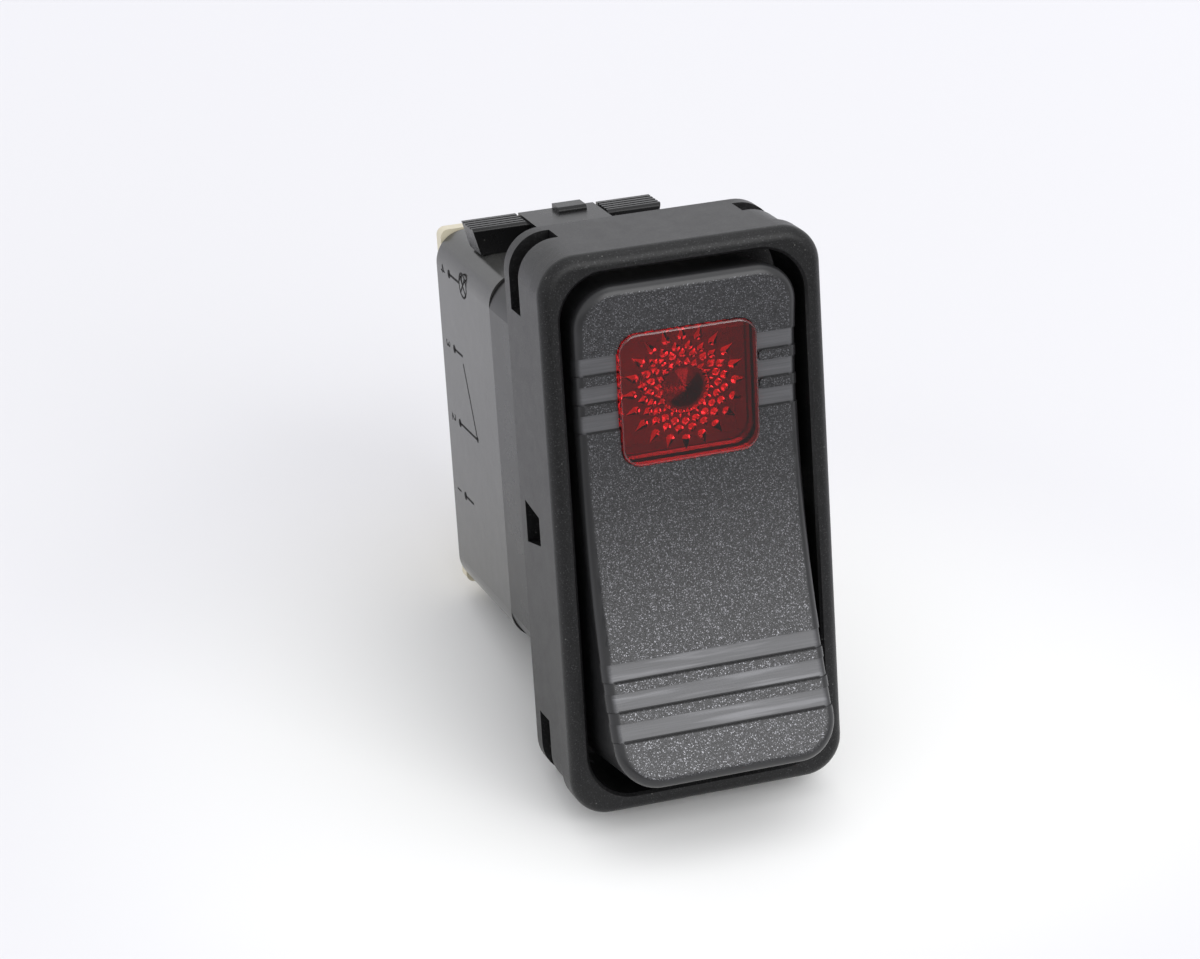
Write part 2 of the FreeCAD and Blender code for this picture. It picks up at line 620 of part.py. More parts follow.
def terminal(sx, row):
    """Outer rows end in a foot under the blade, the middle one in the ridge that the blade rocks on."""
    x = sx * POLE_X
    if row == 0:
        tip_y = BLADE_Y + BLADE_FULCRUM_GAP
        heel_y = tip_y + TAB_HEEL
        ridge = side_profile([(tip_y, 0.0), (heel_y, TAB_T / 2), (heel_y, -TAB_T / 2)],
                             x - BLADE_W / 2, x + BLADE_W / 2)
        return tab(sx, row, heel_y).fuse(ridge)
    if row == 2:
        return tab(sx, row, PLUG_FRONT_Y - TAB_HEEL)
    body = tab(sx, row, FOOT_Y)
    near, far = sorted((row * (BUTTON_Z - BUTTON_R - TAB_SLOT_GAP), row * ROW_PITCH))
    foot = box(x - BLADE_W / 2, x + BLADE_W / 2, FOOT_Y, FOOT_Y + TAB_T, near, far)
    return body.fuse(foot)


def fixed_contacts():
    buttons = []
    for x in (-POLE_X, POLE_X):
        for z in (-BUTTON_Z, BUTTON_Z):
            buttons.append(rod(BUTTON_R, x, z, FIXED_FACE_Y, FOOT_Y))
    return Part.makeCompound(buttons)


def blade_at_rest(shape):
    """The blade leans against the lower fixed contact while the rocker's upper end is pressed in."""
    turned = shape.copy()
    turned.rotate(vec(0, BLADE_Y, 0), X_AXIS, BLADE_TILT_DEG)
    return turned


def contact_blade(x):
    """A shallow V that opens towards the plunger and rocks on its middle."""
    rise = BLADE_HALF_H * math.tan(BLADE_TILT)
    outline = [(BLADE_Y, 0.0), (BLADE_Y - rise, BLADE_HALF_H), (BLADE_Y - rise - BLADE_T, BLADE_HALF_H),
               (BLADE_Y - BLADE_T, 0.0), (BLADE_Y - rise - BLADE_T, -BLADE_HALF_H),
               (BLADE_Y - rise, -BLADE_HALF_H)]
    return blade_at_rest(side_profile(outline, x - BLADE_W / 2, x + BLADE_W / 2))


def moving_contacts(x):
    """Two buttons under the ends of one blade, square to its wings."""
    buttons = []
    for sign in (-1, 1):
        button = rod(BUTTON_R, x, sign * BUTTON_Z, BLADE_Y, BLADE_Y + BUTTON_T)
        button.rotate(vec(0, BLADE_Y, 0), X_AXIS, sign * BLADE_TILT_DEG)
        buttons.append(button)
    return blade_at_rest(Part.makeCompound(buttons))


def lamp_leaf(sx):
    """Spring strip from a lamp terminal forward to the board on the carrier."""
    x = sx * POLE_X
    high = 2 * ROW_PITCH - TAB_T / 2
    board_back = about_pivot(lamp_board(), -TILT_DEG).BoundBox.YMax
    front = board_back + LEAF_GAP
    top = LENS_Z + LEAF_ABOVE_LENS_CENTRE
    outline = [(PLUG_FRONT_Y, high), (PLUG_FRONT_Y, high - LEAF_T), (SEAM_Y, high - LEAF_T),
               (front + LEAF_T, top - LEAF_T), (front + LEAF_T, top - LEAF_TIP),
               (front, top - LEAF_TIP), (front, top), (SEAM_Y, high)]
    return side_profile(outline, x - LEAF_W / 2, x + LEAF_W / 2)


def build():
    os.makedirs("parts", exist_ok=True)
    save("bezel_bracket", bezel_bracket())
    save("rocker_cap", at_rest(rocker_cap()))
    save("rocker_carrier", at_rest(rocker_carrier()))
    save("lens", at_rest(lens()))
    save("lamp_bulb", at_rest(lamp_bulb()))
    save("lamp_board", at_rest(lamp_board()))
    save("housing", housing())
    save("terminal_base", terminal_base())
    save("fixed_contacts", fixed_contacts())
    number = 0
    for sx, row in terminal_rows():
        number += 1
        save("terminal_" + str(number), terminal(sx, row))
    for side, sx in (("left", -1), ("right", 1)):
        save("plunger_" + side, at_rest(plunger(sx * POLE_X)))
        save("plunger_spring_" + side, at_rest(plunger_spring(sx * POLE_X)))
        save("contact_blade_" + side, contact_blade(sx * POLE_X))
        save("moving_contacts_" + side, moving_contacts(sx * POLE_X))
        save("lamp_leaf_" + side, lamp_leaf(sx))


build()
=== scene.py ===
# %% [markdown]
# # A lighted rocker switch
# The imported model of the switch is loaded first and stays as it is. This lesson gives every
# part its finish, adds the small pieces that only show close up, and sets the light and camera.
# The model is in metres, -Y is the side with the rocker, and the panel would be at Y = 0.

# %% Load the model and keep its size
import json
import math

import bpy
from mathutils import Matrix, Vector


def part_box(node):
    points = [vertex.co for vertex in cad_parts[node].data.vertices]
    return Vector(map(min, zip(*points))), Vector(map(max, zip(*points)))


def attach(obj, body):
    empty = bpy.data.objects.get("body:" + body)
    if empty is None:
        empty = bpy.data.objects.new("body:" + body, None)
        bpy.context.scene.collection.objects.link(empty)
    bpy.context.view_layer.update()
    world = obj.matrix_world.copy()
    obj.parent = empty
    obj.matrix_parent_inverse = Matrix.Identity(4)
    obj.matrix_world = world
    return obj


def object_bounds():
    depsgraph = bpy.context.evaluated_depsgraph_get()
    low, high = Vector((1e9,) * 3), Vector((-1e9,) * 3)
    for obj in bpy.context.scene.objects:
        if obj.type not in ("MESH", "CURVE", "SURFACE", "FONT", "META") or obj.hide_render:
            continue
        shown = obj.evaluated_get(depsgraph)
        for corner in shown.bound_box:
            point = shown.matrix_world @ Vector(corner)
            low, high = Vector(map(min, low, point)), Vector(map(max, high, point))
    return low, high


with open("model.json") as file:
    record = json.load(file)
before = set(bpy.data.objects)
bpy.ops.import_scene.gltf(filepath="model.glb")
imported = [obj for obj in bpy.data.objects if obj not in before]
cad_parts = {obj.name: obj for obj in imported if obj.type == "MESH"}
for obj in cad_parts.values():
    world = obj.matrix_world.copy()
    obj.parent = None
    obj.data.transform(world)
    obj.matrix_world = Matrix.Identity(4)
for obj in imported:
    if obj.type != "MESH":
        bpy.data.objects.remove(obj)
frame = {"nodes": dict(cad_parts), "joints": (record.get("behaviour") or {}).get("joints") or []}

size_before = [list(corner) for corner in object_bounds()]
nodes = frame["nodes"]
MM = 0.001


def in_mm(box):
    return [[round(v / MM, 2) for v in corner] for corner in box]


print("model box, mm:", in_mm(size_before))

# %% [markdown]
# ## Where the rocker's own level is
# The rocker is tilted at rest: its upper end is pressed in. Its face carries bars that run
# straight across, so the finish is easier to describe in the rocker's own level than in the
# model's. The hinge in the record says where it turns, and rest lies half a travel from level.

# %% The rocker's hinge and tilt
rocker_joint = next(j for j in frame["joints"] if j["name"] == "rocker_tilt")
hinge = Vector(rocker_joint["pos_m"])
rest_tilt = math.radians(rocker_joint["range_deg"][1]) / 2
level_turn = Matrix.Rotation(rest_tilt, 3, "X")
level_shift = hinge - level_turn @ hinge
print("rocker leans", round(math.degrees(rest_tilt), 2), "degrees at rest")

# %% [markdown]
# ## The camera
# A long lens some 35 cm away keeps the sides nearly parallel, as in a catalogue picture. It looks
# down on the switch from its left. A constraint could aim it at the switch, but lining up the
# bezel's corners gives the tilt to the side as well, so its place and turn are set outright.

# %% Camera
FOCAL_MM, SENSOR_MM = 116.2, 36.0
NEAREST, FARTHEST = 0.01, 20.0
CAMERA_AT = (-0.10271, -0.31930, 0.11398)
CAMERA_TURN_DEG = (71.349, 3.522, -18.216)
camera_data = bpy.data.cameras.new("catalogue_camera")
camera_data.lens = FOCAL_MM
camera_data.sensor_width = SENSOR_MM
camera_data.clip_start = NEAREST
camera_data.clip_end = FARTHEST
camera = bpy.data.objects.new("catalogue_camera", camera_data)
bpy.context.scene.collection.objects.link(camera)
camera.location = CAMERA_AT
camera.rotation_euler = [math.radians(turn) for turn in CAMERA_TURN_DEG]
bpy.context.scene.camera = camera
bpy.context.scene.view_settings.view_transform = "Standard"
print("camera stands", round(camera.location.length / MM), "mm from the bezel")

# %% [markdown]
# ## What the switch stands on
# Laid on a table the switch rests on the lower edge of its bezel and on the lower snap arm, so
# it leans back. The model isn't moved: the table is tilted under it. The lower outline in the
# YZ plane is worked out from the nodes, and the table takes the edge that lies under the middle.
# It ends 10 cm in front of the seat, out of the picture, so that the bezel mirrors a darker room.

# %% Table
def lower_outline(points):
    """The points of the lower hull, from the front of the switch to its back."""
    hull = []
    for p in sorted(points):
        while len(hull) > 1:
            (ay, az), (by, bz) = hull[-2:]
            if (by - ay) * (p[1] - az) - (bz - az) * (p[0] - ay) > 0:
                break
            hull.pop()
        hull.append(p)
    return hull


TABLE_SIZE, TABLE_FRONT_Y = 3.0, -0.1
side_points = {(round(v.co.y, 6), round(v.co.z, 6)) for n in nodes.values() for v in n.data.vertices}
outline = lower_outline(side_points)
middle_y = (size_before[0][1] + size_before[1][1]) / 2
front, back = next((a, b) for a, b in zip(outline, outline[1:]) if b[0] > middle_y)
lean = math.atan2(back[1] - front[1], back[0] - front[0])
slope = Vector((0.0, math.cos(lean), math.sin(lean)))
front_foot = Vector((0.0, *front))
table_edge = front_foot + slope * (TABLE_FRONT_Y - front[0]) / slope.y
bpy.ops.object.select_all(action="DESELECT")
bpy.ops.mesh.primitive_plane_add(size=TABLE_SIZE, location=table_edge + slope * TABLE_SIZE / 2,
                                 rotation=(lean, 0.0, 0.0))
table = bpy.context.object
table.name = "table"
print("table leans", round(math.degrees(lean), 1), "degrees and touches at Y, mm:",
      round(front[0] / MM, 2), round(back[0] / MM, 2))

# %% [markdown]
# ## Small tools for materials
# Materials can be wired by hand in the Shader Editor. In a script, nodes are added and linked in
# the same way each time, so a few short helpers do it. A number goes into a socket, and another
# node's output is linked to it.

# %% Node helpers
def wire(tree, value, socket):
    """Puts a number or colour into a socket, or links a node's output to it."""
    if isinstance(value, bpy.types.NodeSocket):
        tree.links.new(value, socket)
    else:
        socket.default_value = value


def put(tree, kind, settings=None, **sockets):
    """Adds a node. A socket is filled by its label, or by its number with a _ before it."""
    node = tree.nodes.new(kind)
    for name, value in (settings or {}).items():
        setattr(node, name, value)
    for name, value in sockets.items():
        key = int(name[1:]) if name[0] == "_" and name[1:].isdigit() else name.replace("_", " ")
        wire(tree, value, node.inputs[key])
    return node


def calc(tree, operation, *values):
    """One step of arithmetic, as a Math node."""
    node = tree.nodes.new("ShaderNodeMath")
    node.operation = operation
    for i, value in enumerate(values):
        wire(tree, value, node.inputs[i])
    return node.outputs[0]


def soft_step(tree, value, low, high):
    """0 below low, 1 above high, smooth between. With low above high it falls instead of rising."""
    node = put(tree, "ShaderNodeMapRange", {"interpolation_type": "SMOOTHSTEP"}, Value=value,
               From_Min=low, From_Max=high)
    return node.outputs[0]


def blend(tree, factor, a, b):
    """A number between a, at factor 0, and b, at factor 1."""
    node = tree.nodes.new("ShaderNodeMix")
    for value, socket in zip((factor, a, b), (node.inputs[0], node.inputs[2], node.inputs[3])):
        wire(tree, value, socket)
    return node.outputs[0]


def blend_colour(tree, factor, a, b):
    """A colour between a, at factor 0, and b, at factor 1."""
    node = tree.nodes.new("ShaderNodeMix")
    node.data_type = "RGBA"
    for value, socket in zip((factor, a, b), (node.inputs[0], node.inputs[6], node.inputs[7])):
        wire(tree, value, socket)
    return node.outputs[2]


# %% Group and material helpers
def new_group(name, inputs, outputs):
    """An empty node group, with its inputs and outputs given as label: kind."""
    group = bpy.data.node_groups.new(name, "ShaderNodeTree")
    for way, sockets in (("INPUT", inputs), ("OUTPUT", outputs)):
        for label, kind in sockets.items():
            group.interface.new_socket(label, in_out=way, socket_type="NodeSocket" + kind)
    return group, group.nodes.new("NodeGroupInput").outputs, group.nodes.new("NodeGroupOutput").inputs


def use_group(tree, group, **sockets):
    """Places a group in a tree, with all of its inputs filled."""
    node = tree.nodes.new("ShaderNodeGroup")
    node.node_tree = group
    for name, value in sockets.items():
        wire(tree, value, node.inputs[name.replace("_", " ")])
    return node


def new_material(name):
    """A material with its Principled shader, and the object's own coordinates."""
    material = bpy.data.materials.new(name)
    material.use_nodes = True
    tree = material.node_tree
    shader = tree.nodes["Principled BSDF"]
    place = tree.nodes.new("ShaderNodeTexCoord").outputs["Object"]
    return material, tree, shader, place


def emboss(tree, shader, height, strength, depth):
    """Bends the light on the surface as if the height stood proud by up to the depth."""
    bump = put(tree, "ShaderNodeBump", Height=height, Strength=strength, Distance=depth)
    wire(tree, bump.outputs["Normal"], shader.inputs["Normal"])


def dress(name, material):
    """Gives a node of the model its finish."""
    mesh = nodes[name].data
    mesh.materials.clear()
    mesh.materials.append(material)
    print(name, "is dressed in", material.name)


# %% [markdown]
# ## Spark texture
# The face of the rocker and the skirt of the bezel come from a mould that was eroded by sparks.
# It leaves craters of just under a tenth of a millimetre. Real craters would need millions of
# faces, so a cell pattern stands for them: each cell is one crater with random numbers of its
# own. Most stay dark or shine faintly, and a few face the light and glint. The group serves both
# parts, and each of them says how large the craters are, in mm, and what share of them glints.

# %% Group: spark texture
# No random number reaches FULL_GLINT, so no crater is quite white. The power keeps most of the
# faint glints low.
SPARK_GRAIN = 0.08
FULL_GLINT, FAINT_GLINT, FAINT_POWER = 1.05, 0.2, 2.0
FLOOR_STEP, MOTTLE_PER_GRAIN = 0.6, 0.05
spark, spark_in, spark_out = new_group(
    "spark_texture", {"Place": "Vector", "Grain": "Float", "Glint Share": "Float"},
    {"Height": "Float", "Fleck": "Float", "Mottle": "Float"})
grains_per_metre = calc(spark, "DIVIDE", 1.0 / MM, spark_in["Grain"])
craters = put(spark, "ShaderNodeTexVoronoi", Vector=spark_in["Place"], Scale=grains_per_metre)
chance = put(spark, "ShaderNodeSeparateColor", _0=craters.outputs["Color"])
first_glint = calc(spark, "SUBTRACT", 1.0, spark_in["Glint Share"])
glint = soft_step(spark, chance.outputs["Red"], first_glint, FULL_GLINT)
faint = calc(spark, "MULTIPLY", calc(spark, "POWER", chance.outputs["Green"], FAINT_POWER), FAINT_GLINT)
wire(spark, calc(spark, "MINIMUM", calc(spark, "ADD", glint, faint), 1.0), spark_out["Fleck"])
crater_floor = calc(spark, "MULTIPLY", chance.outputs["Blue"], FLOOR_STEP)
wire(spark, calc(spark, "ADD", craters.outputs["Distance"], crater_floor), spark_out["Height"])
broad = put(spark, "ShaderNodeTexNoise", Vector=spark_in["Place"], Detail=2.0,
            Scale=calc(spark, "MULTIPLY", grains_per_metre, MOTTLE_PER_GRAIN))
wire(spark, broad.outputs["Fac"], spark_out["Mottle"])
print(spark.name, "has", len(spark.nodes), "nodes")

# %% [markdown]
# ## Smooth plastic that isn't perfectly smooth
# Polished mould faces still leave a slight waviness, and handling leaves smudges and dust. An
# even finish would look drawn, so the group makes all three from soft noise and a few sharp
# points, for every smooth plastic on the switch. The length of a wave is given in mm.

# %% Group: satin skin
SMUDGE_PER_WAVE = 0.25
DUST_PITCH, SPECK_EDGE, SPECK_CORE = 1.1 * MM, 0.07, 0.03
satin, satin_in, satin_out = new_group("satin_skin", {"Place": "Vector", "Wave": "Float"},
                                       {"Height": "Float", "Smudge": "Float", "Dust": "Float"})
waves_per_metre = calc(satin, "DIVIDE", 1.0 / MM, satin_in["Wave"])
wave = put(satin, "ShaderNodeTexNoise", Vector=satin_in["Place"], Scale=waves_per_metre, Detail=4.0)
smudge = put(satin, "ShaderNodeTexNoise", Vector=satin_in["Place"], Detail=5.0, Roughness=0.7,
             Scale=calc(satin, "MULTIPLY", waves_per_metre, SMUDGE_PER_WAVE))
specks = put(satin, "ShaderNodeTexVoronoi", Vector=satin_in["Place"], Scale=1.0 / DUST_PITCH)
wire(satin, wave.outputs["Fac"], satin_out["Height"])
wire(satin, smudge.outputs["Fac"], satin_out["Smudge"])
wire(satin, soft_step(satin, specks.outputs["Distance"], SPECK_EDGE, SPECK_CORE), satin_out["Dust"])
print(satin.name, "has", len(satin.nodes), "nodes")

# %% [markdown]
# ## Brushed grain
# The sunk bars on the rocker were polished along their length, and the tabs were rolled and
# stamped. Both show fine lines. A picture of brushed metal could give them, but noise that is
# stretched along one axis does it at any size. The Lines input says how dense the pattern is
# along X, Y and Z, and the lines run along the axis with the least.

# %% Group: brushed grain
brushed, brushed_in, brushed_out = new_group("brushed_grain", {"Place": "Vector", "Lines": "Vector"},
                                             {"Height": "Float"})
stretched = put(brushed, "ShaderNodeVectorMath", {"operation": "MULTIPLY"}, _0=brushed_in["Place"],
                _1=brushed_in["Lines"])
grain = put(brushed, "ShaderNodeTexNoise", Vector=stretched.outputs[0], Scale=3.0, Detail=3.0)
wire(brushed, grain.outputs["Fac"], brushed_out["Height"])
print(brushed.name, "has", len(brushed.nodes), "nodes")

# %% [markdown]
# ## The bezel's plastic
# One moulding has two finishes: the ring and skirt in front of the panel are sparked, and what
# goes through the panel is smooth. Its faces could be sorted into two materials, but the seat
# plane at Y = 0 parts them, so one material with a mask on Y does the same and blends them.

# %% Bezel material
DUST_GREY = (0.12, 0.12, 0.115, 1)
RING_DARK, RING_GLINT = (0.004, 0.004, 0.0042, 1), (0.07, 0.07, 0.072, 1)
RING_ROUGH, ARM_ROUGH = (0.32, 0.4), (0.22, 0.34)
SMOOTH_FROM_Y, SPARKED_FROM_Y = 0.3 * MM, -0.1 * MM
WAVE_RELIEF = 0.1
bezel_black, tree, shader, place = new_material("bracket_black")
seat = put(tree, "ShaderNodeSeparateXYZ", _0=place)
textured = soft_step(tree, seat.outputs["Y"], SMOOTH_FROM_Y, SPARKED_FROM_Y)
sparks = use_group(tree, spark, Place=place, Grain=SPARK_GRAIN, Glint_Share=0.12)
skin = use_group(tree, satin, Place=place, Wave=1.6)
fleck = calc(tree, "MULTIPLY", sparks.outputs["Fleck"], textured)
colour = blend_colour(tree, fleck, RING_DARK, RING_GLINT)
wire(tree, blend_colour(tree, skin.outputs["Dust"], colour, DUST_GREY), shader.inputs["Base Color"])
wire(tree, fleck, shader.inputs["Metallic"])
rough = blend(tree, textured, blend(tree, skin.outputs["Smudge"], *ARM_ROUGH),
              blend(tree, sparks.outputs["Mottle"], *RING_ROUGH))
wire(tree, rough, shader.inputs["Roughness"])
waves = calc(tree, "MULTIPLY", skin.outputs["Height"], WAVE_RELIEF)
relief = blend(tree, textured, waves, sparks.outputs["Height"])
emboss(tree, shader, relief, strength=0.25, depth=0.03 * MM)
shader.inputs["Specular IOR Level"].default_value = 0.3
dress("bezel_bracket", bezel_black)

# %% [markdown]
# ## Rows of sunk bars
# Three bars are sunk into the rocker below the middle and three beside the lens, all at one
# pitch. So one group finds them: it takes a height and the height of a row's first bar, and
# counts down in steps of the pitch. The lower side of a bar is a sharp step, and the corner there
# keeps the light out, so a second mask marks that crease for painted shade. The sizes are those
# of the model. A painted picture could mark the bars as well, but a mask stays sharp however near
# the camera is.

# %% Group: rows of bars
BAR_COUNT, BAR_H, BAR_PITCH, CREASE_W = 3, 1.65 * MM, 2.6 * MM, 0.16 * MM
bars, bars_in, bars_out = new_group("bar_rows", {"Height": "Float", "First Bar": "Float"},
                                    {"Mask": "Float", "Crease Shade": "Float"})
down = calc(bars, "ADD", calc(bars, "SUBTRACT", bars_in["First Bar"], bars_in["Height"]), BAR_H / 2)
in_rows = calc(bars, "MULTIPLY", calc(bars, "GREATER_THAN", down, 0.0),
               calc(bars, "LESS_THAN", down, BAR_COUNT * BAR_PITCH))
along_pitch = calc(bars, "FLOORED_MODULO", down, BAR_PITCH)
on_bar = calc(bars, "LESS_THAN", along_pitch, BAR_H)
wire(bars, calc(bars, "MULTIPLY", in_rows, on_bar), bars_out["Mask"])
# The second output marks the corner under each bar, where painted shade goes.
from_step = calc(bars, "ABSOLUTE", calc(bars, "SUBTRACT", along_pitch, BAR_H))
at_step = soft_step(bars, from_step, CREASE_W, CREASE_W / 2)
wire(bars, calc(bars, "MULTIPLY", in_rows, at_step), bars_out["Crease Shade"])
print(bars.name, "has", len(bars.nodes), "nodes")

# %% [markdown]
# ## Where the rocker is sparked and where it is smooth
# The rocker's face is sparked. Its rounded border, its side walls and the bars are smooth. A
# second material would need the face cut along each border, and the model's mesh stays as it is.
# So masks on the rocker's own level coordinates tell the finishes apart: how far a point is from
# the edge, round the corners as well, and where it lies in the rows of bars.

# %% Masks on the rocker
CAP_HALF_W, CAP_HALF_H, CAP_CORNER_R, BORDER = 10.35 * MM, 22.6 * MM, 3.8 * MM, 0.95 * MM
LOW_ROW_Z, HIGH_ROW_Z, CREASE_SHADE_DEPTH = -12.1 * MM, 15.5 * MM, 0.75
rocker_black, tree, shader, place = new_material("rocker_black")
level = put(tree, "ShaderNodeMapping", Vector=place, Location=level_shift,
            Rotation=(rest_tilt, 0.0, 0.0)).outputs["Vector"]
axes = put(tree, "ShaderNodeSeparateXYZ", _0=level)
from_side = calc(tree, "SUBTRACT", CAP_HALF_W, calc(tree, "ABSOLUTE", axes.outputs["X"]))
from_end = calc(tree, "SUBTRACT", CAP_HALF_H, calc(tree, "ABSOLUTE", axes.outputs["Z"]))
into_corner = [calc(tree, "MAXIMUM", calc(tree, "SUBTRACT", CAP_CORNER_R, distance), 0.0)
               for distance in (from_side, from_end)]
squares = [calc(tree, "MULTIPLY", distance, distance) for distance in into_corner]
from_arc_middle = calc(tree, "SQRT", calc(tree, "ADD", *squares))
from_rim = calc(tree, "SUBTRACT", CAP_CORNER_R, from_arc_middle)
inside = soft_step(tree, from_rim, BORDER * 0.75, BORDER)
low_bars, high_bars = [use_group(tree, bars, Height=axes.outputs["Z"], First_Bar=first)
                       for first in (LOW_ROW_Z, HIGH_ROW_Z)]
any_bar = calc(tree, "MAXIMUM", low_bars.outputs["Mask"], high_bars.outputs["Mask"])
any_crease_shade = calc(tree, "MAXIMUM", low_bars.outputs["Crease Shade"], high_bars.outputs["Crease Shade"])
# Where the creases get painted shade, fading out at the border.
crease_shade = calc(tree, "MULTIPLY", any_crease_shade, calc(tree, "MULTIPLY", inside, CREASE_SHADE_DEPTH))
textured = calc(tree, "MULTIPLY", inside, calc(tree, "SUBTRACT", 1.0, any_bar))
polished = calc(tree, "MULTIPLY", any_bar, soft_step(tree, from_side, BORDER / 3, BORDER * 0.75))
print("the masks on the rocker take", len(tree.nodes), "nodes")

# %% [markdown]
# ## The rocker's colour and gloss
# The sparked face is as fine as the bezel's, and it glints more. The bars show fine lines from
# polishing, and their greys, lighter than the black face, are painted sheen. Those of the low row
# stand out and are pressed, so they have broader rubbed streaks too. Each mask picks a colour, a
# roughness and a relief, and the creases are dull and painted black as shade.

# %% Rocker material
FACE_DARK, FACE_GLINT = (0.008, 0.008, 0.0085, 1), (0.24, 0.24, 0.256, 1)
# The bars are the same black plastic as the face; their two greys are painted sheen. The rubbed grey is wear.
BAR_SHEEN_DIM, BAR_SHEEN_BRIGHT, BAR_RUBBED = (0.05, 0.05, 0.053, 1), (0.12, 0.12, 0.127, 1), (0.17, 0.17, 0.18, 1)
# The creases are painted black as shade, since the corner under each bar keeps the light out.
BORDER_BLACK, CREASE_SHADE_BLACK = (0.016, 0.016, 0.017, 1), (0.004, 0.004, 0.004, 1)
FINE_LINES, BROAD_STREAKS, RUBBED_STEP = (60.0, 2600.0, 2600.0), (25.0, 450.0, 450.0), (0.48, 0.66)
BORDER_ROUGH, BAR_ROUGH, FACE_ROUGH, CREASE_ROUGH = (0.25, 0.35), (0.25, 0.42), (0.34, 0.28), 0.9
LINE_RELIEF = 0.15
sparks = use_group(tree, spark, Place=place, Grain=SPARK_GRAIN, Glint_Share=0.22)
skin = use_group(tree, satin, Place=place, Wave=1.5)
lines = use_group(tree, brushed, Place=level, Lines=FINE_LINES).outputs["Height"]
streaks = use_group(tree, brushed, Place=level, Lines=BROAD_STREAKS).outputs["Height"]
rubbed = calc(tree, "MULTIPLY", soft_step(tree, streaks, *RUBBED_STEP), low_bars.outputs["Mask"])
# The bar colour is painted sheen, with lighter rubbed streaks from wear.
bar_sheen_and_wear = blend_colour(tree, rubbed, blend_colour(tree, lines, BAR_SHEEN_DIM, BAR_SHEEN_BRIGHT), BAR_RUBBED)
smooth_colour = blend_colour(tree, polished, BORDER_BLACK, bar_sheen_and_wear)
face_colour = blend_colour(tree, sparks.outputs["Fleck"], FACE_DARK, FACE_GLINT)
colour = blend_colour(tree, textured, smooth_colour, face_colour)
# Painted shade darkens the creases here.
wire(tree, blend_colour(tree, crease_shade, colour, CREASE_SHADE_BLACK), shader.inputs["Base Color"])
fleck = calc(tree, "MULTIPLY", sparks.outputs["Fleck"], textured)
wire(tree, calc(tree, "MULTIPLY", fleck, calc(tree, "SUBTRACT", 1.0, crease_shade)), shader.inputs["Metallic"])
smooth_rough = blend(tree, any_bar, blend(tree, skin.outputs["Smudge"], *BORDER_ROUGH),
                     blend(tree, lines, *BAR_ROUGH))
rough = blend(tree, textured, smooth_rough, blend(tree, fleck, *FACE_ROUGH))
wire(tree, blend(tree, crease_shade, rough, CREASE_ROUGH), shader.inputs["Roughness"])
smooth_relief = blend(tree, any_bar, calc(tree, "MULTIPLY", skin.outputs["Height"], WAVE_RELIEF),
                      calc(tree, "MULTIPLY", lines, LINE_RELIEF))
relief = blend(tree, textured, smooth_relief, sparks.outputs["Height"])
emboss(tree, shader, relief, strength=0.3, depth=0.03 * MM)
dress("rocker_cap", rocker_black)

# %% [markdown]
# ## Body, carrier and base
# The body behind the panel is a smoother black than the rocker, and the base that holds the tabs
# is a cream thermoplastic. The carrier, the lamp's board and the plungers are hidden, but show
# when the switch is opened. All differ only in colour and gloss, so rather than wire each by hand
# one function makes them with the satin skin.

# %% Satin plastics
def satin_plastic(name, colour, roughness, dust=DUST_GREY):
    """A smooth moulded plastic: slight waves, smudges in the gloss, a little dust."""
    material, tree, shader, place = new_material(name)
    skin = use_group(tree, satin, Place=place, Wave=1.5)
    shade = tuple(0.86 * c for c in colour[:3]) + (1,)
    body = blend_colour(tree, skin.outputs["Smudge"], shade, colour)
    wire(tree, blend_colour(tree, skin.outputs["Dust"], body, dust), shader.inputs["Base Color"])
    smudged = blend(tree, skin.outputs["Smudge"], roughness - 0.05, roughness + 0.07)
    wire(tree, smudged, shader.inputs["Roughness"])
    emboss(tree, shader, skin.outputs["Height"], strength=0.12, depth=0.1 * MM)
    return material


dress("housing", satin_plastic("housing_black", (0.045, 0.045, 0.043, 1), 0.2))
dress("rocker_carrier", satin_plastic("carrier_black", (0.02, 0.02, 0.02, 1), 0.35))
dress("terminal_base", satin_plastic("base_cream", (0.72, 0.66, 0.5, 1), 0.38, dust=(0.4, 0.36, 0.28, 1)))
dress("lamp_board", satin_plastic("board_green", (0.03, 0.14, 0.06, 1), 0.3))
plunger_white = satin_plastic("plunger_white", (0.78, 0.78, 0.75, 1), 0.35, dust=(0.5, 0.5, 0.47, 1))
for side in ("left", "right"):
    dress("plunger_" + side, plunger_white)

# %% [markdown]
# ## Metals
# Tabs are tin-plated brass, blades are copper alloy, contacts silver and springs steel. Each is
# metal with brushed lines. The tin is thin in places, where the yellow of the brass comes through.
# A plain metal would mirror the base like glass, so the lines and duller patches break it up.

# %% Metals
def rolled_metal(name, colour, dull, roughness, lines):
    """A metal with fine lines along one axis and duller patches."""
    material, tree, shader, place = new_material(name)
    grain = use_group(tree, brushed, Place=place, Lines=lines)
    skin = use_group(tree, satin, Place=place, Wave=0.8)
    wire(tree, blend_colour(tree, skin.outputs["Smudge"], dull, colour), shader.inputs["Base Color"])
    shader.inputs["Metallic"].default_value = 1.0
    lined = blend(tree, grain.outputs["Height"], roughness - 0.1, roughness + 0.12)
    wire(tree, lined, shader.inputs["Roughness"])
    emboss(tree, shader, grain.outputs["Height"], strength=0.2, depth=0.03 * MM)
    return material


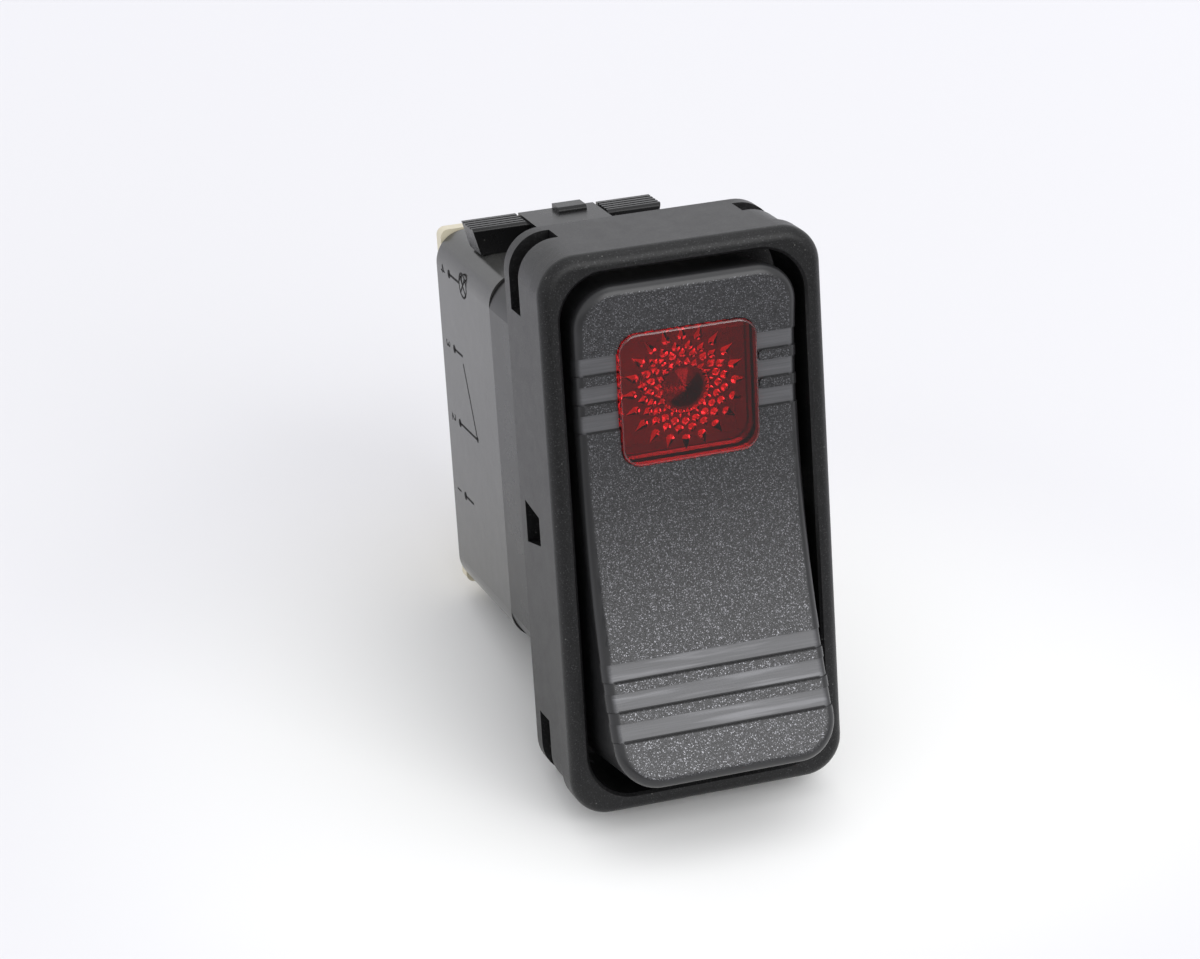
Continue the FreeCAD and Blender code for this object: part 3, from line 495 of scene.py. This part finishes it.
ALONG_Y, ALONG_Z, ANY_WAY = (1500.0, 60.0, 1500.0), (1500.0, 1500.0, 60.0), (900.0, 900.0, 900.0)
tin = rolled_metal("tab_brass", (0.7, 0.68, 0.62, 1), (0.52, 0.44, 0.3, 1), 0.42, ALONG_Y)
silver = rolled_metal("contact_silver", (0.88, 0.87, 0.84, 1), (0.7, 0.69, 0.66, 1), 0.2, ANY_WAY)
copper = rolled_metal("blade_copper", (0.8, 0.45, 0.28, 1), (0.55, 0.3, 0.2, 1), 0.28, ALONG_Z)
steel = rolled_metal("spring_steel", (0.6, 0.6, 0.6, 1), (0.45, 0.45, 0.45, 1), 0.25, ALONG_Y)
for number in range(1, 9):
    dress("terminal_%d" % number, tin)
dress("fixed_contacts", silver)
for side in ("left", "right"):
    dress("moving_contacts_" + side, silver)
    dress("contact_blade_" + side, copper)
    dress("plunger_spring_" + side, steel)
    dress("lamp_leaf_" + side, steel)

# %% [markdown]
# ## The lens
# The lens is clear red plastic. Light that enters its face is turned back by the small pits
# behind it, which is why they flash bright red over a dark ground. Painted spots would stay put
# as the view changes, so the lens is made clear, and a white lining in its pits, a painted
# reflection, does the work. The bulb behind it is clear glass.

# %% Lens and bulb
LENS_RED, LENS_DUST, BULB_CLEAR = (1.0, 0.018, 0.024, 1), (1.0, 0.25, 0.25, 1), (0.95, 0.95, 0.93, 1)
LENS_ROUGH, BULB_ROUGH = (0.02, 0.06), (0.02, 0.1)
LENS_BEND, LENS_COAT = 1.49, 0.8
lens_red, tree, shader, place = new_material("lens_red")
skin = use_group(tree, satin, Place=place, Wave=2.5)
wire(tree, blend_colour(tree, skin.outputs["Dust"], LENS_RED, LENS_DUST), shader.inputs["Base Color"])
wire(tree, blend(tree, skin.outputs["Smudge"], *LENS_ROUGH), shader.inputs["Roughness"])
shader.inputs["Transmission Weight"].default_value = 1.0
shader.inputs["IOR"].default_value = LENS_BEND
shader.inputs["Coat Weight"].default_value = LENS_COAT
dress("lens", lens_red)

bulb_glass, tree, shader, place = new_material("lamp_glass")
skin = use_group(tree, satin, Place=place, Wave=2.0)
wire(tree, blend(tree, skin.outputs["Smudge"], *BULB_ROUGH), shader.inputs["Roughness"])
shader.inputs["Base Color"].default_value = BULB_CLEAR
shader.inputs["Transmission Weight"].default_value = 1.0
dress("lamp_bulb", bulb_glass)

# %% [markdown]
# ## Piece helpers
# The pieces that are added below are modelled with the same commands that the menus call. Three
# helpers save writing: one picks the objects to work on, one runs commands in Edit Mode, and one
# hands a piece over to the model, where it moves with the body that carries it and has a finish.

# %% Piece helpers
bpy.context.tool_settings.mesh_select_mode = (False, False, True)


def work_on(*objects):
    """Selects these objects and nothing else. The first one is active."""
    bpy.ops.object.select_all(action="DESELECT")
    for o in objects:
        o.select_set(True)
    bpy.context.view_layer.objects.active = objects[0]


def edit(*steps):
    """Runs mesh commands on the active object in Edit Mode. Each step is a command with its settings."""
    bpy.ops.object.mode_set(mode="EDIT")
    for command, settings in steps:
        command(**settings)
    bpy.ops.object.mode_set(mode="OBJECT")


def hand_over(piece, name, body, material):
    """Puts the piece's place into its mesh, names it and lets it ride on a body."""
    work_on(piece)
    bpy.ops.object.transform_apply(location=True, rotation=True, scale=True)
    piece.name = name
    piece.data.materials.clear()
    piece.data.materials.append(material)
    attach(piece, body)
    print(name, "has", len(piece.data.polygons), "faces and rides on", body)


# %% [markdown]
# ## A painted reflection in the pits
# The pits behind the lens turn light back through the red. A bright white lining in them stands
# in for that light: it is a painted reflection, not part of the real lens. It has exactly the
# shape of the pits, so it isn't modelled anew: their faces are taken from a copy of the lens,
# those that slope, lie near its back and are within the rings of pits. The rest of the copy is
# deleted, and what stays is set back a hair and given a thickness.

# %% Pit linings, a painted reflection
LINING_GAP, LINING_T = 0.01 * MM, 0.02 * MM
FACES_BACK, FLAT = 0.9, 0.95
PIT_DEPTH, PITS_FROM, PITS_TO = 0.06, 0.27, 0.84
# The lining's whites are painted reflection, standing in for the light the pits turn back.
REFLECTION_PAINT_DULL, REFLECTION_PAINT_BRIGHT, LINING_ROUGH = (0.9, 0.9, 0.9, 1), (0.98, 0.98, 0.98, 1), 0.35
lens = nodes["lens"]
reflection_paint = bpy.data.objects.new("lens_pit_reflection_paint", lens.data.copy())
bpy.context.scene.collection.objects.link(reflection_paint)
facing_back = [p for p in lens.data.polygons if p.normal.y > FACES_BACK]
backwards = max(facing_back, key=lambda p: p.area).normal.copy()
upwards = Vector((1.0, 0.0, 0.0)).cross(backwards)
depth_of_back = max(v.co @ backwards for v in lens.data.vertices)
heights = [v.co @ upwards for v in lens.data.vertices]
lens_middle = (min(heights) + max(heights)) / 2
lens_half_w = max(v.co.x for v in lens.data.vertices)
for face in reflection_paint.data.polygons:
    radius = math.hypot(face.center.x, face.center @ upwards - lens_middle)
    near_back = depth_of_back - face.center @ backwards < PIT_DEPTH * lens_half_w
    sloping = abs(face.normal @ backwards) < FLAT
    face.select = near_back and sloping and PITS_FROM * lens_half_w < radius < PITS_TO * lens_half_w
work_on(reflection_paint)
edit((bpy.ops.mesh.select_all, dict(action="INVERT")),
     (bpy.ops.mesh.delete, dict(type="FACE")),
     (bpy.ops.mesh.select_all, dict(action="SELECT")),
     (bpy.ops.mesh.remove_doubles, dict(threshold=0.001 * MM)),
     (bpy.ops.transform.translate, dict(value=backwards * LINING_GAP)))
thicken = reflection_paint.modifiers.new("thicken", "SOLIDIFY")
thicken.thickness = LINING_T
thicken.offset = 1.0
bpy.ops.object.modifier_apply(modifier="thicken")
# A white matt lining: painted reflection in the pits.
pit_reflection_material, tree, shader, place = new_material("pit_reflection_paint")
skin = use_group(tree, satin, Place=place, Wave=0.8)
wire(tree, blend_colour(tree, skin.outputs["Smudge"], REFLECTION_PAINT_DULL, REFLECTION_PAINT_BRIGHT),
     shader.inputs["Base Color"])
shader.inputs["Roughness"].default_value = LINING_ROUGH
hand_over(reflection_paint, "lens_pit_reflection_paint", "rocker", pit_reflection_material)

# %% [markdown]
# ## The lamp's filament
# Through the middle of the lens the bulb can be made out. Its filament is a coil on two bent
# leads. The coil is a small circle wound by the Screw modifier, with its ends closed afterwards,
# because a curve with a bevel would need its turns worked out point by point. A lead is one disc,
# extruded up and then inwards. All is drawn upright about the bulb's middle, and turned to lie
# along the bulb at the end.

# %% Filament and leads
bulb_low, bulb_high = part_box("lamp_bulb")
bulb_middle, bulb_half = (bulb_low + bulb_high) / 2, (bulb_high - bulb_low) / 2
COIL_TURNS, COIL_W, COIL_R, WIRE_R = 8, bulb_half.x, 0.2 * bulb_half.x, 0.04 * bulb_half.x
LEAD_R, COIL_Z = 0.07 * bulb_half.x, 0.15 * bulb_half.y
FOOT_X, FOOT_Z = 0.62 * bulb_half.x, -0.8 * bulb_half.y

bpy.ops.object.select_all(action="DESELECT")
bpy.ops.mesh.primitive_circle_add(vertices=8, radius=WIRE_R, location=(0.0, 0.0, COIL_R))
coil = bpy.context.object
bpy.ops.object.transform_apply(location=True, rotation=True, scale=True)
edit((bpy.ops.mesh.select_all, dict(action="SELECT")),
     (bpy.ops.transform.rotate, dict(value=math.pi / 2, orient_axis="X", center_override=(0.0, 0.0, COIL_R))))
winding = coil.modifiers.new("winding", "SCREW")
winding.axis = "X"
winding.screw_offset = COIL_W / COIL_TURNS
winding.iterations = COIL_TURNS
winding.steps = winding.render_steps = 16
bpy.ops.object.modifier_apply(modifier="winding")
edit((bpy.ops.mesh.select_all, dict(action="SELECT")),
     (bpy.ops.mesh.fill_holes, dict(sides=0)),
     (bpy.ops.mesh.select_all, dict(action="SELECT")),
     (bpy.ops.transform.translate, dict(value=(-COIL_W / 2, 0.0, COIL_Z))),
     (bpy.ops.mesh.normals_make_consistent, dict(inside=False)))

leads = []
for side in (-1, 1):
    foot_x = side * FOOT_X
    bpy.ops.mesh.primitive_circle_add(vertices=12, radius=LEAD_R, location=(foot_x, 0.0, FOOT_Z),
                                      fill_type="NGON")
    leads.append(bpy.context.object)
    rise = (0.0, 0.0, COIL_Z - FOOT_Z - COIL_R)
    bend = (side * COIL_W / 2 - foot_x, 0.0, COIL_R)
    edit((bpy.ops.mesh.select_all, dict(action="SELECT")),
         (bpy.ops.mesh.extrude_region_move, dict(TRANSFORM_OT_translate=dict(value=rise))),
         (bpy.ops.mesh.extrude_region_move, dict(TRANSFORM_OT_translate=dict(value=bend))),
         (bpy.ops.mesh.select_all, dict(action="SELECT")),
         (bpy.ops.mesh.normals_make_consistent, dict(inside=False)))
work_on(coil, *leads)
bpy.ops.object.transform_apply(location=True, rotation=True, scale=True)
bpy.ops.object.join()
filament = bpy.context.object
filament.matrix_world = Matrix.Translation(bulb_middle) @ Matrix.Rotation(math.pi / 2 - rest_tilt, 4, "X")
hand_over(filament, "lamp_filament", "rocker", steel)

# %% [markdown]
# ## Print on the housing
# The sides of the housing are printed. The print is dull, so it shows dark where the glossy side
# mirrors the room. A mask in the housing's material could draw it, but a piece of its own has
# sharp edges and can be moved. It stands a hundredth of a millimetre proud. Text is made a mesh,
# and then extruded like the discs and bars of the other marks.

# %% Print material
INK_BLACK, INK_WORN, INK_ROUGH = (0.006, 0.006, 0.006, 1), (0.03, 0.03, 0.029, 1), 0.7
WORN_STEP = (0.5, 0.65)
ink, tree, shader, place = new_material("print_ink")
wear = put(tree, "ShaderNodeTexNoise", Vector=place, Scale=2.6 / MM, Detail=3.0)
worn = soft_step(tree, wear.outputs["Fac"], *WORN_STEP)
wire(tree, blend_colour(tree, worn, INK_BLACK, INK_WORN), shader.inputs["Base Color"])
shader.inputs["Roughness"].default_value = INK_ROUGH
shader.inputs["Specular IOR Level"].default_value = 0.2
print(ink.name, "has", len(tree.nodes), "nodes")

# %% Mark helpers
INK_T, DIGIT_SIZE, DOT_R, LINE_W = 0.01 * MM, 1.8 * MM, 0.42 * MM, 0.25 * MM
house_low, house_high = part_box("housing")


def stamp(mark, side, y, z, along=Vector((0.0, 0.0, -1.0))):
    """Thickens a flat mark and sets it on the left (-1) or right (1) side, its X along this way."""
    work_on(mark)
    edit((bpy.ops.mesh.select_all, dict(action="SELECT")),
         (bpy.ops.mesh.extrude_region_move, dict(TRANSFORM_OT_translate=dict(value=(0.0, 0.0, INK_T)))),
         (bpy.ops.mesh.select_all, dict(action="SELECT")),
         (bpy.ops.mesh.normals_make_consistent, dict(inside=False)))
    outward = Vector((side, 0.0, 0.0))
    spot = Vector((house_low.x if side < 0 else house_high.x, y, z))
    facing = Matrix((along, outward.cross(along), outward)).transposed().to_4x4()
    mark.matrix_world = Matrix.Translation(spot) @ facing
    bpy.ops.object.transform_apply(location=True, rotation=True, scale=True)
    return mark


def digit(number, side, y, z):
    """A number in plain type, made a mesh."""
    bpy.ops.object.text_add(location=(0.0, 0.0, 0.0))
    text = bpy.context.object
    text.data.body = str(number)
    text.data.size = DIGIT_SIZE
    text.data.align_x, text.data.align_y = "CENTER", "CENTER"
    bpy.ops.object.convert(target="MESH")
    return stamp(bpy.context.object, side, y, z)


def dot(side, y, z, radius=DOT_R):
    """A filled disc."""
    bpy.ops.mesh.primitive_circle_add(vertices=24, radius=radius, fill_type="NGON")
    return stamp(bpy.context.object, side, y, z)


def stroke(side, start, end):
    """A bar from start to end, both given as (y, z)."""
    run = Vector((0.0, end[0] - start[0], end[1] - start[1]))
    bpy.ops.mesh.primitive_plane_add(size=1.0)
    edit((bpy.ops.mesh.select_all, dict(action="SELECT")),
         (bpy.ops.transform.resize, dict(value=(run.length, LINE_W, 1.0))))
    middle = ((start[0] + end[0]) / 2, (start[1] + end[1]) / 2)
    return stamp(bpy.context.object, side, *middle, along=run.normalized())


def ring(side, y, z, radius):
    """A disc whose middle is deleted after an inset."""
    bpy.ops.mesh.primitive_circle_add(vertices=32, radius=radius, fill_type="NGON")
    edit((bpy.ops.mesh.select_all, dict(action="SELECT")),
         (bpy.ops.mesh.inset, dict(thickness=LINE_W)),
         (bpy.ops.mesh.delete, dict(type="FACE")))
    return stamp(bpy.context.object, side, y, z)


# %% [markdown]
# ## Numbers and diagram
# Each tab has its plain number beside it, 1 to 4 on the left and 5 to 8 on the right. Each side
# has the same diagram: a dot and a line to each tab, a slanting contact line and a lamp sign. Its
# rows follow the tabs, and the columns are set in from the back edge of the housing.

# %% Print on both sides
tab_4_low, tab_4_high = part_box("terminal_4")
top_row = (tab_4_low.z + tab_4_high.z) / 2
rows = [-top_row / 2, 0.0, top_row / 2, top_row]
number_y, line_end_y, contact_y, pole_y = [house_high.y - d * MM for d in (2.4, 4.6, 7.4, 10.6)]
LAMP_SIGN_R, POLE_DOT_R, CONTACT_REACH = 1.3 * MM, 0.7 * DOT_R, 0.9
slant = LAMP_SIGN_R * math.sqrt(0.5)
for side, side_name, first in ((-1, "left", 1), (1, "right", 5)):
    marks = [digit(first + k, side, number_y, row) for k, row in enumerate(rows)]
    marks += [dot(side, line_end_y, row) for row in rows]
    marks += [stroke(side, (line_end_y, row), (contact_y, row)) for row in (rows[0], rows[2])]
    marks += [stroke(side, (line_end_y, 0.0), (pole_y, 0.0)),
              stroke(side, (pole_y, 0.0), (contact_y, CONTACT_REACH * rows[2])),
              dot(side, pole_y, 0.0, POLE_DOT_R)]
    lamp_y = pole_y + LAMP_SIGN_R
    marks += [ring(side, lamp_y, top_row, LAMP_SIGN_R),
              stroke(side, (line_end_y, top_row), (lamp_y + LAMP_SIGN_R, top_row))]
    marks += [stroke(side, (lamp_y - slant, top_row - way * slant), (lamp_y + slant, top_row + way * slant))
              for way in (-1, 1)]
    work_on(*marks)
    bpy.ops.object.join()
    hand_over(bpy.context.object, "side_print_" + side_name, "switch_body", ink)

# %% [markdown]
# ## The table's finish
# The ground of a catalogue picture is a pale sweep with soft shade near the object. The table is
# palest under the switch, painted light that lifts the shadow there, and greyer a few centimetres
# off, painted shade. It is paler again far away. Its front edge, which the bezel mirrors, is the
# greyest. Lamps could draw such shades too, but they would change the switch as well, so the
# table's colour depends on the distance from the bezel's foot.

# %% Table material
# Under the switch the colour is painted light on its shadow; a little further off it is painted shade.
UNDER_SWITCH_PAINTED_LIGHT, AROUND_SWITCH_PAINTED_SHADE = (0.95, 0.95, 0.94, 1), (0.79, 0.787, 0.81, 1)
FAR_OFF, FRONT_EDGE = (0.83, 0.826, 0.86, 1), (0.75, 0.748, 0.77, 1)
AROUND_AT, FAR_AT, FRONT_EDGE_AT = (0.02, 0.07), (0.1, 0.3), (0.09, 0.03)
sweep, tree, shader, place = new_material("sweep_white")
from_foot = put(tree, "ShaderNodeVectorMath", {"operation": "DISTANCE"}, _0=place,
                _1=table.matrix_world.inverted() @ front_foot).outputs["Value"]
colour = blend_colour(tree, soft_step(tree, from_foot, *AROUND_AT), UNDER_SWITCH_PAINTED_LIGHT, AROUND_SWITCH_PAINTED_SHADE)
colour = blend_colour(tree, soft_step(tree, from_foot, *FAR_AT), colour, FAR_OFF)
from_edge = calc(tree, "ADD", put(tree, "ShaderNodeSeparateXYZ", _0=place).outputs["Y"], TABLE_SIZE / 2)
colour = blend_colour(tree, soft_step(tree, from_edge, *FRONT_EDGE_AT), colour, FRONT_EDGE)
wire(tree, colour, shader.inputs["Base Color"])
shader.inputs["Roughness"].default_value = 0.9
shader.inputs["Specular IOR Level"].default_value = 0.1
table.data.materials.append(sweep)
print("table has", sweep.name, "with", len(tree.nodes), "nodes")

# %% [markdown]
# ## The room
# Past the table the world is plain pale white, to the camera and through the lens. It lights the
# scene evenly, and only in mirroring surfaces is it darker low in front, as a real room is below
# the edge of a desk. A picture of a room would do as well, but Light Path tells the kinds of ray
# apart without one.

# %% World
PALE = (0.93, 0.935, 0.955, 1)
ROOM_LIGHT, DARK_FRONT = 0.97, 0.33
FRONT_AT, BELOW_AT = (-0.2, -0.6), (0.1, -0.1)
world = bpy.data.worlds.new("pale_room")
bpy.context.scene.world = world
world.use_nodes = True
sky = world.node_tree
sky.nodes.clear()
rays = sky.nodes.new("ShaderNodeLightPath")
towards = put(sky, "ShaderNodeSeparateXYZ", _0=sky.nodes.new("ShaderNodeTexCoord").outputs["Generated"])
in_front = soft_step(sky, towards.outputs["Y"], *FRONT_AT)
below = soft_step(sky, towards.outputs["Z"], *BELOW_AT)
mirrored = blend(sky, calc(sky, "MULTIPLY", in_front, below), 1.0, DARK_FRONT)
lit_or_mirrored = blend(sky, rays.outputs["Is Glossy Ray"], ROOM_LIGHT, mirrored)
seen = calc(sky, "MAXIMUM", rays.outputs["Is Camera Ray"], rays.outputs["Is Transmission Ray"])
pale_room = put(sky, "ShaderNodeBackground", Color=PALE, Strength=blend(sky, seen, lit_or_mirrored, 1.0))
sky.links.new(pale_room.outputs[0], sky.nodes.new("ShaderNodeOutputWorld").inputs[0])
print(world.name, "has", len(sky.nodes), "nodes")

# %% [markdown]
# ## Lamps
# The world alone would leave no direction to the light. A wide soft box above gives the edges
# their sheen, and a stronger one in front lights the face. Both stand to the right. A small lamp
# would draw hard shadows and sharp spots, which a catalogue picture avoids.

# %% Lamps
def soft_box(name, place, width, power):
    """A square area lamp that faces the switch."""
    data = bpy.data.lights.new(name, "AREA")
    data.size = width
    data.energy = power
    lamp = bpy.data.objects.new(name, data)
    bpy.context.scene.collection.objects.link(lamp)
    lamp.location = place
    lamp.rotation_euler = (-Vector(place)).to_track_quat("-Z", "Y").to_euler()
    print(name, "is", width, "m wide and gives", power, "W")


soft_box("top_lamp", (0.2, -0.15, 0.75), width=0.6, power=0.8)
soft_box("front_lamp", (0.2, -0.72, 0.32), width=0.62, power=3.1)
